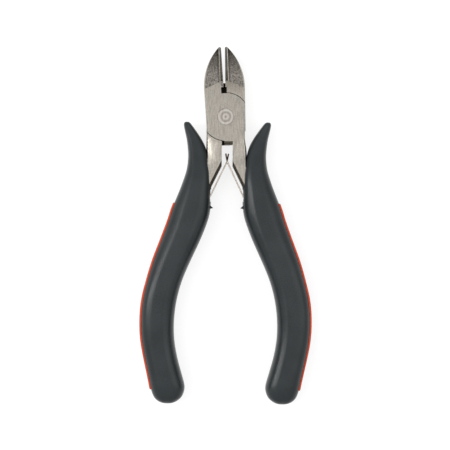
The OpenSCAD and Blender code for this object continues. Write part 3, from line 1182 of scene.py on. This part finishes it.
# Rows from the finger guard's top to the grip's end: share of the length, shares of the
# span at the inner and the outer edge, and share of the thickness
GRIP_ROWS = (
    (0.000, 0.459, 0.492, 0.160),
    (0.004, 0.437, 0.510, 0.320),
    (0.013, 0.413, 0.514, 0.430),
    (0.035, 0.359, 0.499, 0.540),
    (0.064, 0.295, 0.477, 0.640),
    (0.093, 0.250, 0.465, 0.730),
    (0.121, 0.228, 0.459, 0.810),
    (0.150, 0.207, 0.465, 0.870),
    (0.177, 0.190, 0.481, 0.920),
    (0.206, 0.182, 0.512, 0.960),
    (0.235, 0.181, 0.546, 0.985),
    (0.263, 0.183, 0.583, 1.000),
    (0.306, 0.187, 0.640, 1.010),
    (0.348, 0.213, 0.683, 1.020),
    (0.420, 0.304, 0.770, 1.020),
    (0.491, 0.412, 0.858, 1.010),
    (0.562, 0.512, 0.927, 1.000),
    (0.633, 0.576, 0.982, 0.990),
    (0.704, 0.605, 1.000, 0.980),
    (0.775, 0.601, 0.989, 0.970),
    (0.847, 0.557, 0.945, 0.970),
    (0.917, 0.490, 0.894, 0.980),
    (0.946, 0.470, 0.876, 0.960),
    (0.975, 0.499, 0.842, 0.860),
    (0.989, 0.546, 0.801, 0.700),
    (0.997, 0.594, 0.750, 0.480),
    (1.000, 0.641, 0.699, 0.250),
)


@dataclass
class MouldedGrip:
    """One soft grip: a swept handle with a finger guard, two ridges and a small ramp."""

    side: Side
    top_mm: float = 1.4
    end_mm: float = 92.2
    span_mm: float = 27.45
    thickness_mm: float = 10.5
    back_mm: float = 0.4
    flat_share: float = 0.38
    ridge_power: float = 1.7
    flank_power: float = 2.4
    side_steps: int = 12
    rows_between: int = 2
    nub_level_mm: float = 29.2
    nub_long_mm: float = 1.0
    nub_high_mm: float = 0.8
    nub_wide_mm: float = 3.0
    nub_lap_mm: float = 0.3
    nub_easing_mm: float = 0.12
    rivet_side_mm: float = 7.98
    rivet_level_mm: float = 31.0
    leaf_lean_deg: float = 25.28
    pocket_wide_mm: float = 5.0
    pocket_half_mm: float = 0.85
    pocket_deeper_mm: float = 1.2
    pocket_low_mm: float = -2.2
    pocket_high_mm: float = 8.3
    shade_deg: float = 40.0

    def _read(self, column: int, s: float) -> float:
        """Reads one column of the rows at a share of the length."""
        at, values = ([row[k] for row in GRIP_ROWS] for k in (0, column))
        return smooth_value(at, values, s)

    def inner_mm(self, s: float) -> float:
        """Distance of the inner edge from the middle line."""
        return self.span_mm * self._read(1, s)

    def outer_mm(self, s: float) -> float:
        """Distance of the outer edge from the middle line."""
        return self.span_mm * self._read(2, s)

    def half_height_mm(self, s: float) -> float:
        """Height of the front above the middle plane."""
        return self.thickness_mm / 2 * self._read(3, s)

    def _section(self) -> list[tuple[float, float]]:
        """Outline of the grip as shares of its half width and half height.

        Returns:
            Points round the section: outer side, front, inner side and back.
        """
        deep = 1 + self.back_mm / (self.thickness_mm / 2)
        arc = []
        for i in range(self.side_steps + 1):
            angle = math.radians(-90 + 180 * i / self.side_steps)
            out = max(math.cos(angle), 0) ** (2 / self.ridge_power)
            up = math.copysign(abs(math.sin(angle)) ** (2 / self.flank_power), angle)
            arc.append(
                (self.flat_share + (1 - self.flat_share) * out, up if up > 0 else up * deep)
            )
        front = [(t * self.flat_share, 1.0) for t in (0.5, 0, -0.5)]
        inner = [(-x, z) for x, z in reversed(arc)]
        back = [(t * self.flat_share, -deep) for t in (-0.5, 0, 0.5)]
        return arc + front + inner + back

    def _stops(self) -> list[float]:
        """Shares of the length at which the grip gets a ring of points.

        Returns:
            The shares, from the grip's top to its end.
        """
        rows = [row[0] for row in GRIP_ROWS]
        stops = [
            a + (b - a) * k / self.rows_between
            for a, b in zip(rows, rows[1:])
            for k in range(self.rows_between)
        ]
        return stops + [rows[-1]]

    def _station(self, s: float) -> tuple[Vector, float, float]:
        """Places the section at a share of the length.

        Args:
            s: Share of the grip's length, from its top.

        Returns:
            Middle, half width and half height of the section, in metres.
        """
        middle = (self.inner_mm(s) + self.outer_mm(s)) / 2
        level = PIVOT.y - self.top_mm - (self.end_mm - self.top_mm) * s
        half = (self.outer_mm(s) - self.inner_mm(s)) / 2
        at = Vector((self.side.value * middle, level, PIVOT.z)) * MM
        return at, half * MM, self.half_height_mm(s) * MM

    def _sweep(self) -> Object:
        """Draws the grip out of one ring, station by station.

        Returns:
            A closed body of quads.
        """
        section = self._section()
        stops = self._stops()
        at, wide, high = self._station(stops[0])
        pick(bpy.context.scene.camera)
        bpy.ops.mesh.primitive_circle_add(
            vertices=len(section), radius=MM, fill_type="NOTHING", location=(0, 0, 0)
        )
        grip = bpy.context.view_layer.objects.active
        for vertex, (x, z) in zip(grip.data.vertices, section):
            vertex.co = at + Vector((self.side.value * x * wide, 0, z * high))
        with editing(grip):
            bpy.ops.mesh.select_mode(type="VERT")
            bpy.ops.mesh.select_all(action="SELECT")
            bpy.ops.mesh.edge_face_add()
            for s in stops[1:]:
                to, new_wide, new_high = self._station(s)
                bpy.ops.mesh.extrude_region_move(
                    TRANSFORM_OT_translate={"value": tuple(to - at)}
                )
                bpy.ops.transform.resize(
                    value=(new_wide / wide, 1, new_high / high), center_override=tuple(to)
                )
                at, wide, high = to, new_wide, new_high
            bpy.ops.mesh.select_all(action="SELECT")
            bpy.ops.mesh.normals_make_consistent(inside=False)
        return grip

    def _flatten_back(self, grip: Object) -> None:
        """Cuts the back flat where it lies on the table.

        Args:
            grip: The grip to change.
        """
        with editing(grip):
            bpy.ops.mesh.select_all(action="SELECT")
            bpy.ops.mesh.bisect(
                plane_co=(0, 0, 0),
                plane_no=(0, 0, 1),
                use_fill=True,
                clear_inner=True,
                threshold=CUT_MM * MM,
            )

    def _cut_pocket(self, grip: Object) -> None:
        """Opens the inner side for the leaf spring's foot and its rivet.

        Args:
            grip: The grip to change.
        """
        side = self.side.value
        turn = Matrix.Rotation(math.radians(self.leaf_lean_deg * side), 4, "Z")
        level = PIVOT.y - self.rivet_level_mm
        seat = Vector((side * self.rivet_side_mm, level, PIVOT.z)) * MM
        low, high, deeper = self.pocket_low_mm, self.pocket_high_mm, self.pocket_deeper_mm
        middle = Vector((side * deeper / 2, (low + high) / 2, 0)) * MM
        size = Vector((2 * self.pocket_half_mm + deeper, high - low, self.pocket_wide_mm)) * MM
        pick(grip)
        bpy.ops.mesh.primitive_cube_add(size=1, location=(0, 0, 0))
        cutter = bpy.context.view_layer.objects.active
        cutter.data.transform(Matrix.LocRotScale(middle, None, size))
        cutter.data.transform(Matrix.Translation(seat) @ turn)
        apply_modifier(grip, "BOOLEAN", operation="DIFFERENCE", object=cutter, solver="EXACT")
        bpy.data.objects.remove(cutter)

    def _add_nub(self, grip: Object) -> None:
        """Adds the small ramp on the inner side, below the spring's rivet.

        Args:
            grip: The grip to change.
        """
        length = self.end_mm - self.top_mm
        inner = self.inner_mm((self.nub_level_mm - self.top_mm) / length)
        level = PIVOT.y - self.nub_level_mm
        pick(grip)
        bpy.ops.mesh.primitive_cube_add(size=1, location=(0, 0, 0))
        nub = bpy.context.view_layer.objects.active
        corners = {
            (-1, 1): (inner + self.nub_lap_mm, level + self.nub_long_mm),
            (-1, -1): (inner - self.nub_high_mm, level),
            (1, 1): (inner + self.nub_high_mm, level + self.nub_long_mm),
            (1, -1): (inner + self.nub_high_mm, level - self.nub_high_mm / 2),
        }
        for vertex in nub.data.vertices:
            key = (1 if vertex.co.x > 0 else -1, 1 if vertex.co.y > 0 else -1)
            x, y = corners[key]
            z = PIVOT.z + math.copysign(self.nub_wide_mm / 2, vertex.co.z)
            vertex.co = Vector((self.side.value * x, y, z)) * MM
        with editing(nub):
            bpy.ops.mesh.select_all(action="SELECT")
            bpy.ops.mesh.normals_make_consistent(inside=False)
        width = self.nub_easing_mm * MM
        apply_modifier(nub, "BEVEL", width=width, segments=ROUND_STEPS, limit_method="ANGLE")
        pick(nub)
        grip.select_set(True)
        bpy.context.view_layer.objects.active = grip
        bpy.ops.object.join()

    def build(self) -> Object:
        """Models the grip and fits it in its node's place.

        Returns:
            The finished grip.
        """
        node = self.side.word + "_grip"
        grip = self._sweep()
        apply_modifier(grip, "SUBSURF", levels=2, render_levels=2)
        self._flatten_back(grip)
        self._cut_pocket(grip)
        self._add_nub(grip)
        settle(grip, node + "_moulding")
        dress(grip, GRIP_RUBBER)
        shade(grip, self.shade_deg)
        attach(grip, self.side.half_body)
        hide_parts(node)
        return grip


@dataclass
class GripInlay:
    """The red strip let into a grip's outer edge."""

    side: Side
    easing_mm: float = 0.16
    edge_deg: float = 40.0

    def build(self, frame: dict) -> Object:
        """Makes the strip from its node, with softly rounded edges.


        Returns:
            The finished strip.
        """
        node = self.side.word + "_grip_inlay"
        strip = merged_copy(frame["nodes"][node], node + "_strip")
        dress(strip, INLAY_RUBBER)
        ease_edges(strip, self.easing_mm, lambda middle: 1.0, angle_deg=self.edge_deg)
        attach(strip, self.side.half_body)
        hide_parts(node)
        return strip


# ---- Studio --------------------------------------------------------------------------


@dataclass
class SoftBox:
    """One soft lamp, aimed at the tool."""

    name: str
    place: tuple[float, float, float]
    size: tuple[float, float]
    radiance: float
    aim_height: float = 0.005

    def build(self) -> None:
        """Hangs the lamp and turns it to the tool's middle."""
        lamp = bpy.data.lights.new(self.name, "AREA")
        lamp.shape = "RECTANGLE"
        lamp.size, lamp.size_y = self.size
        lamp.energy = self.radiance * self.size[0] * self.size[1] * math.pi
        holder = bpy.data.objects.new(self.name, lamp)
        bpy.context.scene.collection.objects.link(holder)
        holder.location = self.place
        away = Vector(self.place) - Vector((0.0, 0.0, self.aim_height))
        holder.rotation_euler = away.to_track_quat("Z", "Y").to_euler()


@dataclass
class Studio:
    """The pale sweep, the lamps and the camera straight above the tool."""

    camera_height: float = 0.32
    picture_width: float = 0.14535
    aim_x: float = -0.00048
    aim_y: float = 0.00012
    roll_deg: float = 0.56
    sensor_mm: float = 36.0
    clip_start: float = 0.01
    floor_size: float = 6.0
    floor_drop: float = 0.00005
    fibre_scale: float = 900.0
    paper: tuple[str, str] = ("#8a8a8a", "#8e8e8e")
    surround: float = 0.62
    glow: float = 0.8

    def build(self) -> None:
        """Sets up everything round the tool."""
        bpy.context.scene.view_settings.view_transform = "Standard"
        self._camera()
        self._world()
        self._floor()
        for lamp in (
            SoftBox("left_strip", (-0.4, 0.02, 0.45), (0.07, 0.7), 14.0),
            SoftBox("right_panel", (0.34, 0.0, 0.48), (0.24, 0.7), 1.4),
            SoftBox("far_panel", (0.0, 0.55, 0.6), (0.6, 0.3), 1.0),
        ):
            lamp.build()

    def _camera(self) -> None:
        """Puts the camera above the tool, at the photograph's frame and slight roll."""
        lens = bpy.data.cameras.new("camera")
        lens.sensor_width = self.sensor_mm
        lens.lens = self.sensor_mm * self.camera_height / self.picture_width
        lens.clip_start = self.clip_start
        holder = bpy.data.objects.new("camera", lens)
        bpy.context.scene.collection.objects.link(holder)
        holder.location = (self.aim_x, self.aim_y, self.camera_height + PIVOT.z * MM)
        holder.rotation_euler = (0.0, 0.0, math.radians(self.roll_deg))
        bpy.context.scene.camera = holder

    @staticmethod
    def _seen(tree: NodeTree) -> NodeSocket:
        """Adds up the rays that show the background, to one at most.

        Args:
            tree: Node tree that takes the nodes.

        Returns:
            1 for a ray that shows the background, and 0 for any other.
        """
        path = add_node(tree, "LightPath")
        shown = path.outputs["Is Camera Ray"]
        for ray in ("Is Glossy Ray", "Is Transmission Ray"):
            inputs = {0: shown, 1: path.outputs[ray]}
            shown = add_node(tree, "Math", inputs, operation="MAXIMUM").outputs[0]
        return shown

    def _world(self) -> None:
        """Fills the room with even light, seen as white."""
        world = bpy.data.worlds.new("pale_room")
        bpy.context.scene.world = world
        world.use_nodes = True
        tree = world.node_tree
        tree.nodes.clear()
        light, white = (
            add_node(tree, "Background", {"Color": linear(WHITE), "Strength": strength})
            for strength in (self.surround, 1.0)
        )
        inputs = {0: self._seen(tree), 1: light.outputs[0], 2: white.outputs[0]}
        mixed = add_node(tree, "MixShader", inputs)
        add_node(tree, "OutputWorld", {"Surface": mixed.outputs[0]})

    def _floor(self) -> None:
        """Lays the white sheet, which keeps the tool's soft shadow."""
        pick(bpy.context.scene.camera)
        at = (0, 0, -self.floor_drop)
        bpy.ops.mesh.primitive_plane_add(size=self.floor_size, location=at)
        floor = settle(bpy.context.view_layer.objects.active, "white_sheet")
        skin = Skin("matt_white_paper")
        tree = skin.tree
        tone = skin.colour(skin.noise(self.fibre_scale), *map(linear, self.paper))
        sheet = add_node(tree, "BsdfDiffuse", {"Color": tone})
        inputs = {0: self._seen(tree), 1: self.glow}
        strength = add_node(tree, "Math", inputs, operation="MULTIPLY").outputs[0]
        glow = add_node(tree, "Emission", {"Color": linear(WHITE), "Strength": strength})
        added = add_node(tree, "AddShader", {0: sheet.outputs[0], 1: glow.outputs[0]})
        tree.nodes.remove(tree.nodes["Principled BSDF"])
        feed(tree, tree.nodes["Material Output"], {"Surface": added.outputs[0]})
        floor.data.materials.append(skin.made)


def report(piece: Object) -> None:
    """Logs a piece with its size in millimetres and its faces."""
    size = ", ".join(f"{d / MM:.1f}" for d in piece.dimensions)
    LOG.info("%s: %s mm, %d faces", piece.name, size, len(piece.data.polygons))


def main() -> None:
    """Builds the studio and every piece."""
    logging.basicConfig(level=logging.INFO, format="%(message)s")
    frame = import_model()
    Studio().build()
    report(ForgedHalf("front_half", Side.RIGHT, flare_mm=0.75).build(frame))
    rear = ForgedHalf(
        "rear_half",
        Side.LEFT,
        honed_edge_mm=((-0.03, 46.27), (-0.57, 57.46)),
        highlight_line_mm=0.36,
        shade_line_mm=0.9,
    )
    report(rear.build(frame))
    rivet = SmallSteelPiece("pivot_rivet", "front_half", "rivet_steel", TURNED_RIVET, 0.05)
    report(rivet.build(frame))
    for side in Side:
        leaf = SmallSteelPiece(
            side.word + "_leaf_spring", side.word + "_spring", "spring_steel", SPRING_STRIP
        )
        report(leaf.build(frame))
    for side in Side:
        stud = SmallSteelPiece(
            side.word + "_spring_rivet", side.half_body, "rivet_steel", STUD_STEEL, 0.1, 0.05
        )
        report(stud.build(frame))
    for side in Side:
        report(MouldedGrip(side).build())
        report(GripInlay(side).build(frame))


if __name__ == "__main__":
    main()
